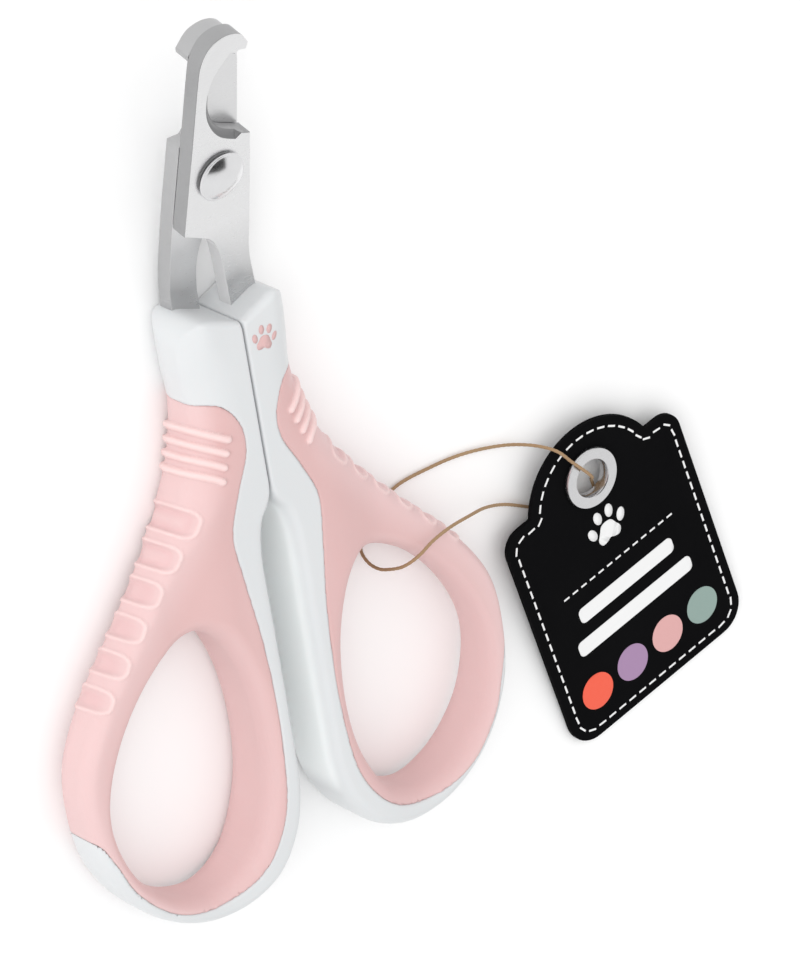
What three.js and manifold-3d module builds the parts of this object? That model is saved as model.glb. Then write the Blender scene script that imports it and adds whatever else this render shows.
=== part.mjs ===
// Scissor nail clipper for pets, lying flat and closed, with its swing tag on a string.
// Millimetres. X is across, Y runs from the finger loops to the blade tips, Z is up.
// The two halves swing on a rivet whose axis leans with the bent-up blade head.
import * as THREE from 'three';
import { mergeVertices } from 'three/addons/utils/BufferGeometryUtils.js';
import ManifoldModule from 'manifold-3d';

const wasm = await ManifoldModule();
wasm.setup();

// Driving dimensions
const handleThick = 12;
const edgeRound = 1.4;        // width of the rounding of a handle's edges
const edgeRoundTall = 3;
const seamHalfGap = 0.18;     // half the gap between the closed handles
const clearance = 0.3;        // between pieces that touch
const armSlimmingTop = 0.36;  // how much lower the outer arm of a loop is on its front face
const armSlimmingBack = 0.3;
const bladeThick = 2.8;        // from the joint plane to a blade's face
const matingHalfGap = 0.15;   // half the gap between the two blades
const headTilt = THREE.MathUtils.degToRad(18);
const tangDrop = 1.5;         // blade joint plane below the handle's reference plane
const referenceHeight = 5.9;  // handle's reference plane above the table
const pivotAlong = 12.8;
const rivetHeadRadius = 3.9;
const rivetShankRadius = 2.1;
const coreWall = 1.45;         // soft material around the hidden core
const coreBarHalf = 2.6;      // half the height of the hidden core bar
const ribCount = 4;
const padCount = 6;
const tagWidth = 35;
const tagLength = 49.6;
const tagThick = 0.8;
const tagLift = 2.9;          // height of the tag's eyelet end, propped by the knot
const stringRadius = 0.25;

const white = { color: 0xd9dadc, roughness: 0.35, metalness: 0 };
const pink = { color: 0xf2d0cf, roughness: 0.6, metalness: 0 };
const steel = { color: 0xc8c9ca, roughness: 0.3, metalness: 1 };
const polished = { color: 0xdcdddf, roughness: 0.12, metalness: 1 };
const card = { color: 0x151515, roughness: 0.55, metalness: 0 };
const kraft = { color: 0xa07e5c, roughness: 0.8, metalness: 0 };

// ---------- solids ----------
function toManifold(geometry) {
  const bare = new THREE.BufferGeometry();
  const source = geometry.index ? geometry.toNonIndexed() : geometry;
  bare.setAttribute('position', source.getAttribute('position').clone());
  const welded = mergeVertices(bare, 1e-6);
  const mesh = new wasm.Mesh({
    numProp: 3,
    vertProperties: new Float32Array(welded.getAttribute('position').array),
    triVerts: new Uint32Array(welded.index.array),
  });
  mesh.merge();
  return new wasm.Manifold(mesh);
}

function toGeometry(manifold) {
  const mesh = manifold.getMesh();
  const geometry = new THREE.BufferGeometry();
  geometry.setAttribute('position', new THREE.BufferAttribute(mesh.vertProperties, 3));
  geometry.setIndex(new THREE.BufferAttribute(mesh.triVerts, 1));
  return geometry;
}

function prism(points, low, high, holes = []) {
  const shape = new THREE.Shape(points);
  for (const hole of holes) {
    shape.holes.push(new THREE.Path(hole));
  }
  const geometry = new THREE.ExtrudeGeometry(shape, { depth: high - low, bevelEnabled: false, steps: 1 });
  geometry.translate(0, 0, low);
  return toManifold(geometry);
}

function roundedSlab(points, holes, low, high, round, roundTall, grow) {
  const shape = new THREE.Shape(points);
  for (const hole of holes) {
    shape.holes.push(new THREE.Path(hole));
  }
  const geometry = new THREE.ExtrudeGeometry(shape, {
    depth: high - low - 2 * roundTall,
    bevelEnabled: true,
    bevelThickness: roundTall,
    bevelSize: round,
    bevelOffset: grow - round,
    bevelSegments: 2,
    steps: 1,
  });
  geometry.translate(0, 0, low + roundTall);
  return toManifold(geometry);
}

// ---------- outlines ----------
function vectors(pairs) {
  return pairs.map(([x, y]) => new THREE.Vector2(x, y));
}

function smoothOpen(pairs, samples) {
  const curve = new THREE.CatmullRomCurve3(pairs.map(([x, y]) => new THREE.Vector3(x, y, 0)), false);
  return curve.getSpacedPoints(samples).map((p) => new THREE.Vector2(p.x, p.y));
}

function smoothClosed(pairs, samples) {
  const curve = new THREE.CatmullRomCurve3(pairs.map(([x, y]) => new THREE.Vector3(x, y, 0)), true);
  const points = curve.getSpacedPoints(samples);
  points.pop();
  return points.map((p) => new THREE.Vector2(p.x, p.y));
}

// Moves each point of an outline sideways: positive grows a counter-clockwise loop.
function offset(points, distance, closed = true) {
  const count = points.length;
  return points.map((point, i) => {
    const before = closed || i > 0 ? points[(i - 1 + count) % count] : point;
    const after = closed || i < count - 1 ? points[(i + 1) % count] : point;
    const along = after.clone().sub(before).normalize();
    return new THREE.Vector2(point.x + along.y * distance, point.y - along.x * distance);
  });
}

function counterClockwise(points) {
  return THREE.ShapeUtils.isClockWise(points) ? points.slice().reverse() : points;
}

// Outer outline of the right handle, from the seam's top round the loop and back to the seam.
// Below the seam the two loops stand apart.
const handleOutline = counterClockwise([
  ...smoothOpen([
    [seamHalfGap, -11.4], [3, -10.2], [6.4, -9.2], [8.7, -11.2], [9.2, -16], [8.9, -22.5],
    [10.4, -29.6], [14, -37.2], [22.7, -48.8], [32.4, -60], [36.8, -68], [37.6, -75.5],
    [36, -84.5], [30.6, -93], [23, -98], [16, -98.9], [8.6, -95.8], [4.6, -90.5],
    [2.9, -84.5], [2.6, -78], [2.5, -60], [2.4, -46], [1.6, -42], [0.5, -39.5], [seamHalfGap, -38],
  ], 66),
]);

const fingerHole = smoothClosed([
  [15.2, -54.6], [21.6, -57.3], [28.2, -63.9], [32.6, -72.4], [33.4, -79], [30.8, -87.3],
  [25, -93], [19, -94.6], [13, -91.9], [9.1, -84.9], [7.6, -75.6], [8.8, -64], [12, -56.6],
], 34);

// Edge of the soft grip on the faces, from the outer side above the ribs round to the loop's lower side.
const gripEdge = smoothOpen([
  [13, -21.6], [9.2, -21.7], [5.6, -22.4], [3.2, -26], [3, -30], [5.6, -36], [7.6, -41.5],
  [7, -49], [5.7, -60], [5.6, -76], [7.6, -87.2], [12.4, -93.7], [19.2, -95.5],
  [26.4, -92.5], [32.2, -85.6], [35.6, -78], [41, -75.6],
], 50);

function gripRegion(inset) {
  const edge = offset(gripEdge, -inset, false);
  return counterClockwise([...edge, ...vectors([[48, -70], [44, -50], [20, -18]])]);
}

function handleSlab(grow, topGrow, bottomGrow) {
  const low = -referenceHeight - bottomGrow;
  const high = handleThick - referenceHeight + topGrow;
  const round = edgeRound + Math.min(grow, 0);
  return roundedSlab(handleOutline, [fingerHole], low, high, round, edgeRoundTall, grow);
}

function coreBar(grow) {
  const outer = offset(handleOutline, -coreWall + grow);
  const hole = offset(counterClockwise(fingerHole), coreWall - grow);
  return prism(outer, -coreBarHalf - grow, coreBarHalf + grow, [hole]);
}

// A curved strip across the grip, from its inner end over the outer side.
function strip(inner, bend, outer, width, low, high) {
  const centre = new THREE.QuadraticBezierCurve(
    new THREE.Vector2(...inner), new THREE.Vector2(...bend), new THREE.Vector2(...outer),
  ).getPoints(5);
  const one = offset(centre, width / 2, false);
  const other = offset(centre, -width / 2, false).reverse();
  return prism(counterClockwise([...one, ...other]), low, high);
}

function ribStrip(index) {
  const y = -22.9 - 2.1 * index;
  const innerX = 6.1 + 0.7 * index;
  return strip([innerX, y - 4.3 + 0.2 * index], [8.6, y - 2.6], [13.5 + index, y + 0.6], 1, -8, 9);
}

// Pads get shorter down the outer arm and lie square to it.
function padPrism(index) {
  const t = index / (padCount - 1);
  const centre = new THREE.Vector2(13 + 18 * t, -38 - 20.4 * t);
  const outward = new THREE.Vector2(0.8, 0.6);
  const along = new THREE.Vector2(-outward.y, outward.x);
  const reach = 6;
  const half = 1.85 - 0.35 * t;
  const inner = centre.clone().addScaledVector(outward, -0.3);
  const corner = (u, v) => inner.clone().addScaledVector(outward, u).addScaledVector(along, v);
  const points = [
    corner(0.7, -half), corner(reach, -half), corner(reach, half), corner(0.7, half),
    corner(0, half - 0.7), corner(0, -half + 0.7),
  ];
  return prism(counterClockwise(points), -8, 9);
}

// The outer arm of each loop is thinner than the shoulder, and more so on its front face.
function slim(manifold) {
  const middle = handleThick / 2 - referenceHeight;
  return manifold.warp((v) => {
    const across = THREE.MathUtils.smoothstep(Math.abs(v[0]), 9, 19.5);
    const along = 0.45 + 0.55 * THREE.MathUtils.smoothstep(v[1], -97, -70);
    const slimming = v[2] > middle ? armSlimmingTop : armSlimmingBack;
    v[2] = middle + (v[2] - middle) * (1 - slimming * across * along);
  });
}

// ---------- handles ----------
function tangSlot() {
  return prism(vectors([
    [1.25, 2], [6.75, 2], [6.75, -26.3], [5.2, -36.3], [2.3, -36.3], [1.25, -26],
  ]).reverse(), -tangDrop - bladeThick - clearance, -tangDrop - matingHalfGap + clearance);
}

function makeCore(frontTang) {
  const body = handleSlab(0, 0, 0);
  const shell = body.subtract(prism(gripRegion(0), -8, 9));
  const bar = coreBar(0).intersect(prism(gripRegion(-0.5), -8, 9));
  const slot = tangSlot().translate([0, 0, frontTang ? bladeThick + matingHalfGap : 0]);
  return slim(shell.add(bar).subtract(slot));
}

function makeGrip(frontTang) {
  const region = prism(gripRegion(clearance), -8, 9);
  let body = handleSlab(0, 0, 0).intersect(region);
  const proud = handleSlab(0.5, 0.6, 0);
  for (let i = 0; i < ribCount; i += 1) {
    body = body.add(proud.intersect(ribStrip(i)).intersect(region));
  }
  const sunk = handleSlab(-0.4, -0.4, -0.4);
  for (let i = 0; i < padCount; i += 1) {
    body = body.subtract(padPrism(i).subtract(sunk));
  }
  const slot = tangSlot().translate([0, 0, frontTang ? bladeThick + matingHalfGap : 0]);
  return slim(body.subtract(coreBar(clearance)).subtract(slot));
}

// ---------- blades ----------
const spineSide = [[-5.7, 4.4], [-5.3, 12.5], [-4.9, 21], [-4.55, 29]];
const hookTop = [[-4.55, 29], [-4.1, 33.3], [-2.6, 35.8], [-0.2, 36.6], [2.4, 35.9], [3.9, 33.9]];
const backHookTop = [[-4.55, 29], [-4, 32.8], [-2.5, 35], [-0.2, 35.8], [2.4, 35.2], [4.2, 33]];
const shankInside = [[1.6, -6], [1.1, -3.6], [0.1, 0], [-1.2, 1.9], [-3.2, 3.1], [-5.7, 4.4]];
const shankOutside = [[6.25, -6], [6, -3.6], [5.6, 5.7], [5.05, 17.9]];

function headOutline(bite, hook) {
  return [
    ...vectors(shankOutside),
    ...bite,
    ...smoothOpen(hook, 10).reverse(),
    ...vectors(spineSide).reverse().slice(1, -1),
    ...smoothOpen(shankInside, 9).reverse(),
  ];
}

function deepBite() {
  return smoothOpen([
    [3.9, 18.3], [0.2, 20.4], [-1.6, 23.4], [-1.9, 26.2], [-1.2, 29.4], [0.9, 32], [2.2, 33.1], [3.6, 32.9],
  ], 14);
}

function shallowBite() {
  return smoothOpen([[3.1, 17.8], [2.45, 20], [2.3, 25], [2.7, 29.5], [4.1, 32.3]], 8);
}

function bentPlate(outline, low, high, tangEnd) {
  const clipped = prism(counterClockwise(outline), low, high);
  const bendAlong = -tangDrop / Math.sin(headTilt);
  const keep = prism(vectors([[-20, bendAlong], [20, bendAlong], [20, 50], [-20, 50]]), -5, 5);
  const head = clipped.intersect(keep).rotate([THREE.MathUtils.radToDeg(headTilt), 0, 0]);
  const tang = prism(counterClockwise(vectors([
    [1.6, tangEnd], [6.2, tangEnd], [6.35, -26], [4.9, -36], [2.6, -36], [1.65, -26],
  ])), low - tangDrop, high - tangDrop);
  return head.add(tang);
}

function rivetBore() {
  const circle = new THREE.CylinderGeometry(rivetShankRadius + clearance, rivetShankRadius + clearance, 12, 24);
  circle.rotateX(Math.PI / 2);
  circle.translate(0, pivotAlong, 0);
  return toManifold(circle).rotate([THREE.MathUtils.radToDeg(headTilt), 0, 0]);
}

function makeFrontBlade() {
  const bendY = -tangDrop / Math.tan(headTilt);
  return bentPlate(headOutline(deepBite(), hookTop), matingHalfGap, bladeThick, bendY).subtract(rivetBore());
}

// The back blade is the mirrored plate under the joint plane, with a shallower bite.
function makeBackBlade() {
  const bendY = -tangDrop / Math.tan(headTilt) + bladeThick * Math.sin(headTilt);
  const plate = bentPlate(headOutline(shallowBite(), backHookTop), -bladeThick, -matingHalfGap, bendY);
  return plate.mirror([1, 0, 0]).subtract(rivetBore());
}

// ---------- rivet ----------
function turned(profile, segments = 28) {
  const lathe = new THREE.LatheGeometry(vectors(profile), segments);
  lathe.rotateX(Math.PI / 2);
  lathe.translate(0, pivotAlong, 0);
  lathe.rotateX(headTilt);
  return lathe;
}

function makeRivet() {
  const seat = bladeThick + 0.55;
  const end = -bladeThick - 1.05;
  return turned([
    [0, end], [rivetShankRadius, end], [rivetShankRadius, seat], [rivetHeadRadius - 0.15, seat],
    [rivetHeadRadius, seat + 0.15], [rivetHeadRadius - 0.1, seat + 0.45], [rivetHeadRadius - 0.5, seat + 0.6],
    [2.7, seat + 0.95], [1.4, seat + 1.2], [0, seat + 1.28],
  ]);
}

function makeWasher() {
  const low = bladeThick + 0.15;
  const bore = rivetShankRadius + 0.2;
  return turned([[bore, low], [3.5, low], [3.5, low + 0.25], [bore, low + 0.25], [bore, low]]);
}

function makeRivetCollar() {
  const top = -bladeThick - 0.15;
  const bore = rivetShankRadius + 0.2;
  return turned([
    [bore, top - 0.75], [3, top - 0.75], [3.4, top - 0.4], [3.4, top], [bore, top], [bore, top - 0.75],
  ]);
}

// ---------- tag and string ----------
const tagSlope = Math.asin(tagLift / (tagLength - 6));
const tagTurn = THREE.MathUtils.degToRad(13.5);
const tagCentre = new THREE.Vector2(64.6, -82.3);
const crownBack = 27.8;       // crown's top behind the centre of the tag's square body
const eyeletFromCrown = 8.7;
const crownHalfWidth = 11.7;  // of the crown's round arch where it meets the shoulders
const shoulderRound = 3.4;

// Outline of the tag about its body centre: square body, rounded foot, arched crown.
function tagOutline() {
  const half = tagWidth / 2;
  const foot = tagLength - crownBack;
  const shape = new THREE.Shape();
  shape.moveTo(-half + 4.5, -foot);
  shape.lineTo(half - 4.5, -foot);
  shape.absarc(half - 4.5, -foot + 4.5, 4.5, -Math.PI / 2, 0, false);
  const shoulder = crownBack - eyeletFromCrown + 0.5;
  const rise = crownBack - shoulder;
  const radius = (crownHalfWidth ** 2 + rise ** 2) / (2 * rise);
  const spread = Math.asin(crownHalfWidth / radius);
  shape.lineTo(half, shoulder - shoulderRound);
  shape.absarc(half - shoulderRound, shoulder - shoulderRound, shoulderRound, 0, Math.PI / 2, false);
  shape.absarc(0, crownBack - radius, radius, Math.PI / 2 - spread, Math.PI / 2 + spread, false);
  shape.absarc(-half + shoulderRound, shoulder - shoulderRound, shoulderRound, Math.PI / 2, Math.PI, false);
  shape.lineTo(-half, -foot + 4.5);
  shape.absarc(-half + 4.5, -foot + 4.5, 4.5, Math.PI, 1.5 * Math.PI, false);
  return shape.getPoints(7);
}

// Lays a flat tag piece down with its foot on the table and its crown propped up.
function layDown(geometry) {
  geometry.translate(0, tagLength - crownBack, 0);
  geometry.rotateX(tagSlope);
  geometry.translate(0, -(tagLength - crownBack), -referenceHeight + 0.1);
  geometry.rotateZ(tagTurn);
  geometry.translate(tagCentre.x, tagCentre.y, 0);
  return geometry;
}

function circlePoints(radius, count, y) {
  const points = [];
  for (let i = 0; i < count; i += 1) {
    const a = (2 * Math.PI * i) / count;
    points.push(new THREE.Vector2(radius * Math.cos(a), y + radius * Math.sin(a)));
  }
  return points;
}

function makeTagCard() {
  const hole = circlePoints(3.7, 24, crownBack - eyeletFromCrown);
  const shape = new THREE.Shape(tagOutline());
  shape.holes.push(new THREE.Path(hole));
  return layDown(new THREE.ExtrudeGeometry(shape, { depth: tagThick, bevelEnabled: false, steps: 1 }));
}

function eyeletPiece(profile) {
  const lathe = new THREE.LatheGeometry(vectors(profile), 28);
  lathe.rotateX(Math.PI / 2);
  lathe.translate(0, crownBack - eyeletFromCrown, 0);
  return layDown(lathe);
}

function makeEyelet() {
  const top = tagThick + 0.3;
  return eyeletPiece([
    [2.8, -0.1], [3.25, -0.1], [3.25, top], [4.8, top], [4.75, top + 0.3], [4.1, top + 0.62],
    [3.3, top + 0.55], [2.9, top + 0.2], [2.8, top - 0.3], [2.8, -0.1],
  ]);
}

function makeEyeletBack() {
  return eyeletPiece([[3.6, -0.8], [4.6, -0.8], [4.6, -0.3], [3.6, -0.3], [3.6, -0.8]]);
}

// Centre line of the string, heights above the table.
const stringPath = [
  [62.2, -69.2, 1.25], [62.3, -67.2, 1.3], [61.5, -65.3, 2.1], [60.2, -63.8, 4.2],
  [58.6, -62, 5.6], [56.1, -59.1, 5.5], [54.5, -57, 4.7], [52.5, -55.7, 3.2], [49.4, -54.6, 1.5],
  [45.5, -53.6, 0.8], [40.3, -52.7, 0.5], [34.9, -52.4, 0.45], [28.2, -52.8, 0.45],
  [24.4, -54.8, 0.45], [21.5, -57.3, 0.45], [20.5, -59.6, 0.7], [20.3, -61, 2.4], [20.5, -61.4, 4.6],
  [20.9, -61, 6.6], [21.5, -60.2, 8.8], [22.3, -59.2, 10.3], [23.6, -58.3, 11], [25.9, -57.3, 11],
  [29.1, -56.8, 10.6], [34.9, -57.9, 8.2], [41.2, -60.6, 3.8], [45.8, -62.8, 1.7], [50.3, -65.4, 0.75],
  [54.6, -67.8, 0.75], [58.7, -69.1, 1.1],
];

function makeString() {
  const points = stringPath.map(([x, y, z]) => new THREE.Vector3(x, y, z - referenceHeight));
  const curve = new THREE.CatmullRomCurve3(points, false);
  const length = curve.getLength();
  const across = new THREE.Shape(circlePoints(stringRadius, 8, 0));
  return new THREE.ExtrudeGeometry(across, {
    steps: Math.round(length / 2),
    extrudePath: curve,
    bevelEnabled: false,
  });
}

function makeKnot() {
  const knot = new THREE.SphereGeometry(1.15, 12, 8);
  knot.scale(1.2, 1, 0.9);
  knot.translate(60.5, -69.3, 1.2 - referenceHeight);
  return knot;
}

// ---------- assembly ----------
function mirrored(manifold) {
  return manifold.mirror([1, 0, 0]);
}

function add(group, name, solid, finish) {
  const geometry = solid.isBufferGeometry ? solid : toGeometry(solid);
  const mesh = new THREE.Mesh(geometry, new THREE.MeshStandardMaterial(finish));
  mesh.name = name;
  group.add(mesh);
  return mesh;
}

const clipper = new THREE.Group();
clipper.name = 'scissor_nail_clipper';
add(clipper, 'front_blade', makeFrontBlade(), steel);
add(clipper, 'back_blade', makeBackBlade(), steel);
add(clipper, 'pivot_rivet', makeRivet(), polished);
add(clipper, 'pivot_washer', makeWasher(), steel);
add(clipper, 'rivet_collar', makeRivetCollar(), steel);
add(clipper, 'right_handle', makeCore(true), white);
add(clipper, 'left_handle', mirrored(makeCore(false)), white);
add(clipper, 'right_grip', makeGrip(true), pink);
add(clipper, 'left_grip', mirrored(makeGrip(false)), pink);

// The origin is under the middle of the clipper itself, without its tag.
const box = new THREE.Box3().setFromObject(clipper);
add(clipper, 'tag_card', makeTagCard(), card);
add(clipper, 'tag_eyelet', makeEyelet(), polished);
add(clipper, 'tag_eyelet_back', makeEyeletBack(), steel);
add(clipper, 'tag_string', makeString(), kraft);
add(clipper, 'string_knot', makeKnot(), kraft);
for (const mesh of clipper.children) {
  mesh.geometry.translate(-(box.min.x + box.max.x) / 2, -(box.min.y + box.max.y) / 2, -box.min.z);
}

export default clipper;
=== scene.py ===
import math

import bmesh
import bpy
import numpy as np
from mathutils import Matrix, Vector


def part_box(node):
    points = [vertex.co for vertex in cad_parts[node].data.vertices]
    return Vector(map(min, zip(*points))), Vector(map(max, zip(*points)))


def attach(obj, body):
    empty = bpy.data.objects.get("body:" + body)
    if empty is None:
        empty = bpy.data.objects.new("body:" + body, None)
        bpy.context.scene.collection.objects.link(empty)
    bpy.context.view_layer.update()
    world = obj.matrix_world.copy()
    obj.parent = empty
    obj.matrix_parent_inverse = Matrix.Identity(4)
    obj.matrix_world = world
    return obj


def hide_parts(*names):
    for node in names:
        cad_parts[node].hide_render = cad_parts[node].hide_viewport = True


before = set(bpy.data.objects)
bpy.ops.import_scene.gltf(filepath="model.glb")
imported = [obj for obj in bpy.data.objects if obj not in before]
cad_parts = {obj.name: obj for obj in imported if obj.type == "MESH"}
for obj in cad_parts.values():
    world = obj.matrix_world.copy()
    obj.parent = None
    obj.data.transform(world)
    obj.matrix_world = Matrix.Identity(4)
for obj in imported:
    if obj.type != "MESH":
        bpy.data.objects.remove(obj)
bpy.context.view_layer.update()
mm = 0.001    # metres
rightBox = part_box("right_handle")
# Handle outlines are drawn in millimetres with y = 0 near the blades' bend; this puts them in the frame.
loopEndY = -98.861
shiftY = rightBox[0][1] / mm - loopEndY
midZ = (rightBox[0][2] + rightBox[1][2]) / 2 / mm
datumZ = midZ - 0.1
rightHalf = "right_half"
leftHalf = "left_half"


# curves and polygons
def splinePoints(knots, perSpan, closed=False):
    # Points of a centripetal Catmull-Rom curve through the knots.
    knots = np.array(knots, float)
    if closed:
        ring = np.vstack([knots[-1], knots, knots[0], knots[1]])
    else:
        ring = np.vstack([2 * knots[0] - knots[1], knots, 2 * knots[-1] - knots[-2]])
    out = []
    for i in range(1, len(ring) - 2):
        p0, p1, p2, p3 = ring[i - 1:i + 3]
        t1 = np.linalg.norm(p1 - p0) ** 0.5
        t2 = t1 + np.linalg.norm(p2 - p1) ** 0.5
        t3 = t2 + np.linalg.norm(p3 - p2) ** 0.5
        t = np.linspace(t1, t2, perSpan, endpoint=False)[:, None]
        a1 = (t1 - t) / t1 * p0 + t / t1 * p1
        a2 = (t2 - t) / (t2 - t1) * p1 + (t - t1) / (t2 - t1) * p2
        a3 = (t3 - t) / (t3 - t2) * p2 + (t - t2) / (t3 - t2) * p3
        b1 = (t2 - t) / t2 * a1 + t / t2 * a2
        b2 = (t3 - t) / (t3 - t1) * a2 + (t - t1) / (t3 - t1) * a3
        out.append((t2 - t) / (t2 - t1) * b1 + (t - t1) / (t2 - t1) * b2)
    points = np.vstack(out)
    if not closed:
        points = np.vstack([points, knots[-1]])
    return points


def polygonDistance(points, polygon):
    # Signed distance of points to a closed polygon, negative inside.
    nearest = np.full(len(points), 1e9)
    inside = np.zeros(len(points), bool)
    following = np.roll(polygon, -1, axis=0)
    for a, b in zip(polygon, following):
        edge = b - a
        away = points - a
        along = np.clip(away @ edge / max(edge @ edge, 1e-12), 0, 1)
        gap = away - along[:, None] * edge
        nearest = np.minimum(nearest, (gap ** 2).sum(1))
        crosses = (a[1] > points[:, 1]) != (b[1] > points[:, 1])
        if crosses.any():
            where = a[0] + (points[:, 1] - a[1]) * edge[0] / (edge[1] if edge[1] else 1e-12)
            inside ^= crosses & (points[:, 0] < where)
    distance = np.sqrt(nearest)
    return np.where(inside, -distance, distance)


def lineDistance(points, line):
    nearest = np.full(len(points), 1e9)
    for a, b in zip(line[:-1], line[1:]):
        edge = b - a
        away = points - a
        along = np.clip(away @ edge / max(edge @ edge, 1e-12), 0, 1)
        nearest = np.minimum(nearest, ((away - along[:, None] * edge) ** 2).sum(1))
    return np.sqrt(nearest)


def smoothStep(value, low, high):
    t = np.clip((value - low) / (high - low), 0, 1)
    return t * t * (3 - 2 * t)


def softMax(a, b, reach):
    blend = np.clip(0.5 + 0.5 * (a - b) / reach, 0, 1)
    return a * blend + b * (1 - blend) + reach * blend * (1 - blend)


# mesh helpers
def meshObject(name, verts, faces, material, smooth=True):
    mesh = bpy.data.meshes.new(name)
    mesh.from_pydata([tuple(v) for v in verts], [], [tuple(int(i) for i in f) for f in faces])
    mesh.update()
    if smooth:
        mesh.polygons.foreach_set("use_smooth", [True] * len(mesh.polygons))
    obj = bpy.data.objects.new(name, mesh)
    bpy.context.scene.collection.objects.link(obj)
    mesh.materials.append(material)
    return obj


def settle(obj):
    # Turns an object with modifiers into a plain mesh.
    depsgraph = bpy.context.evaluated_depsgraph_get()
    mesh = bpy.data.meshes.new_from_object(obj.evaluated_get(depsgraph))
    obj.modifiers.clear()
    obj.data = mesh
    return obj


def finishPiece(obj, body, nodes=()):
    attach(obj, body)
    if nodes:
        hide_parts(*nodes)
    return obj


def surfaceNet(field, origin, step):
    # Vertices and quads of the zero surface of a grid of values, negative inside.
    inside = field < 0
    cells = tuple(n - 1 for n in field.shape)
    total = np.zeros(cells + (3,))
    count = np.zeros(cells)
    for axis in range(3):
        low = [slice(None)] * 3
        high = [slice(None)] * 3
        low[axis] = slice(0, -1)
        high[axis] = slice(1, None)
        f0, f1 = field[tuple(low)], field[tuple(high)]
        crosses = inside[tuple(low)] != inside[tuple(high)]
        part = np.where(crosses, f0 / np.where(f0 == f1, 1, f0 - f1), 0)
        others = [a for a in range(3) if a != axis]
        for da in (0, 1):
            for db in (0, 1):
                take = [slice(None)] * 3
                take[others[0]] = slice(da, field.shape[others[0]] - 1 + da)
                take[others[1]] = slice(db, field.shape[others[1]] - 1 + db)
                hit = crosses[tuple(take)]
                count += hit
                total[..., axis] += np.where(hit, part[tuple(take)], 0)
                total[..., others[0]] += hit * da
                total[..., others[1]] += hit * db
    active = count > 0
    index = np.full(cells, -1)
    index[active] = np.arange(active.sum())
    where = np.argwhere(active)
    verts = (where + total[active] / count[active][:, None]) * step + origin
    quads = []
    for axis in range(3):
        a, b = [k for k in range(3) if k != axis]
        low = [slice(None)] * 3
        high = [slice(None)] * 3
        low[axis] = slice(0, -1)
        high[axis] = slice(1, None)
        crosses = inside[tuple(low)] != inside[tuple(high)]
        spots = np.argwhere(crosses)
        offLow = (spots[:, a] > 0) & (spots[:, b] > 0)
        offHigh = (spots[:, a] < cells[a]) & (spots[:, b] < cells[b])
        spots = spots[offLow & offHigh]
        starts = inside[tuple(spots.T)]
        ring = []
        for da, db in ((1, 1), (0, 1), (0, 0), (1, 0)):
            cell = spots.copy()
            cell[:, a] -= da
            cell[:, b] -= db
            ring.append(index[tuple(cell.T)])
        ring = np.stack(ring, 1)
        flip = starts if axis == 1 else ~starts
        ring[flip] = ring[flip][:, ::-1]
        quads.append(ring)
    return verts, np.vstack(quads)


# materials
def newMaterial(name):
    material = bpy.data.materials.new(name)
    material.use_nodes = True
    nodes = material.node_tree.nodes
    return material, nodes, material.node_tree.links, nodes["Principled BSDF"]


def objectNoise(nodes, links, scale, detail=2.0, stretch=(1, 1, 1)):
    coords = nodes.new("ShaderNodeTexCoord")
    mapping = nodes.new("ShaderNodeMapping")
    mapping.inputs["Scale"].default_value = stretch
    noise = nodes.new("ShaderNodeTexNoise")
    noise.inputs["Scale"].default_value = scale
    noise.inputs["Detail"].default_value = detail
    links.new(coords.outputs["Object"], mapping.inputs["Vector"])
    links.new(mapping.outputs["Vector"], noise.inputs["Vector"])
    return noise


def mixColours(nodes, links, factor, first, second):
    mix = nodes.new("ShaderNodeMix")
    mix.data_type = "RGBA"
    mix.inputs["A"].default_value = (*first, 1)
    mix.inputs["B"].default_value = (*second, 1)
    links.new(factor, mix.inputs["Factor"])
    return mix.outputs["Result"]


def rangeOf(nodes, links, value, low, high, fromLow=0.3, fromHigh=0.7):
    remap = nodes.new("ShaderNodeMapRange")
    remap.inputs["From Min"].default_value = fromLow
    remap.inputs["From Max"].default_value = fromHigh
    remap.inputs["To Min"].default_value = low
    remap.inputs["To Max"].default_value = high
    links.new(value, remap.inputs["Value"])
    return remap.outputs["Result"]


def addBump(nodes, links, shader, height, strength, distance):
    bump = nodes.new("ShaderNodeBump")
    bump.inputs["Strength"].default_value = strength
    bump.inputs["Distance"].default_value = distance
    links.new(height, bump.inputs["Height"])
    links.new(bump.outputs["Normal"], shader.inputs["Normal"])


def plasticMaterial(name, first, second, roughness, grain, bumpStrength, subsurface=0.0, paintedLightZone=None):
    material, nodes, links, shader = newMaterial(name)
    tone = objectNoise(nodes, links, 60.0, 3.0)
    fine = objectNoise(nodes, links, grain, 2.0)
    colour = mixColours(nodes, links, tone.outputs["Fac"], first, second)
    # painted light: an attribute lightens the shell where it stands in shade
    if paintedLightZone:    # an attribute and the colour it brings
        colour = mixOver(nodes, links, attributeValue(nodes, paintedLightZone[0]), colour, paintedLightZone[1])
    links.new(colour, shader.inputs["Base Color"])
    rough = rangeOf(nodes, links, fine.outputs["Fac"], roughness - 0.05, roughness + 0.05)
    links.new(rough, shader.inputs["Roughness"])
    shader.inputs["Subsurface Weight"].default_value = subsurface
    shader.inputs["Subsurface Radius"].default_value = (0.0016, 0.0009, 0.0008)
    addBump(nodes, links, shader, fine.outputs["Fac"], bumpStrength, 0.00005)
    return material


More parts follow.
